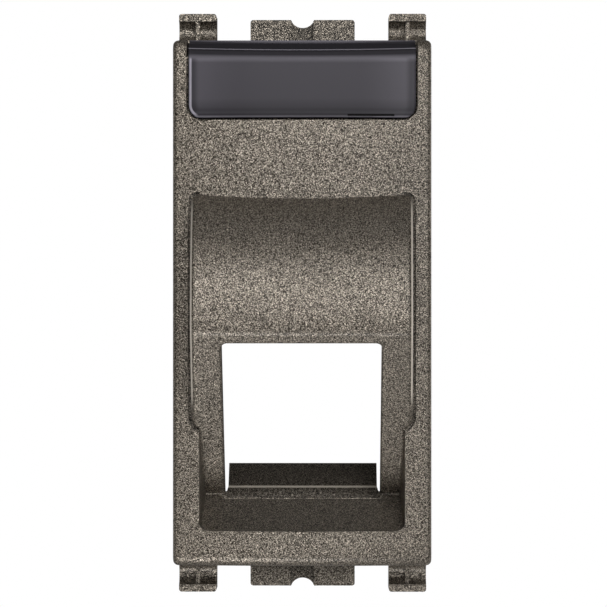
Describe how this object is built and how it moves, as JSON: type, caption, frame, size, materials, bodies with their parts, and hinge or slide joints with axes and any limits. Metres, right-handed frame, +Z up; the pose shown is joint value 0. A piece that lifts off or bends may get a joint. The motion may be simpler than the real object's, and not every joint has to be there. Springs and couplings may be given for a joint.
{
  "type": "angled keystone adapter module",
  "caption": "Single-width wiring module with a crowned front, a barrel hood over an inclined keystone jack port, a smoked clip-on label window and snap lugs on both ends.",
  "frame": {"origin": "middle of the module in the plane of its seat, where the back of the front block meets the mounting frame", "axes": "+X to the right, +Y to the back of the wall box, +Z up; the front of the module faces -Y"},
  "size_m": [0.0222, 0.0198, 0.0506],
  "materials": {
    "bronze_moulding": "fine-grained warm bronze-grey plastic with metallic flakes",
    "smoked_lens": "glossy dark smoked plastic"
  },
  "bodies": {
    "module": {"adapter_body": "bronze_moulding"},
    "label_window": {"label_window": "smoked_lens"}
  },
  "joints": [
    {"name": "label_window_pull", "type": "slide", "parent": "module", "child": "label_window", "axis": [0, -1, 0], "range_m": [0, 0.006]}
  ]
}
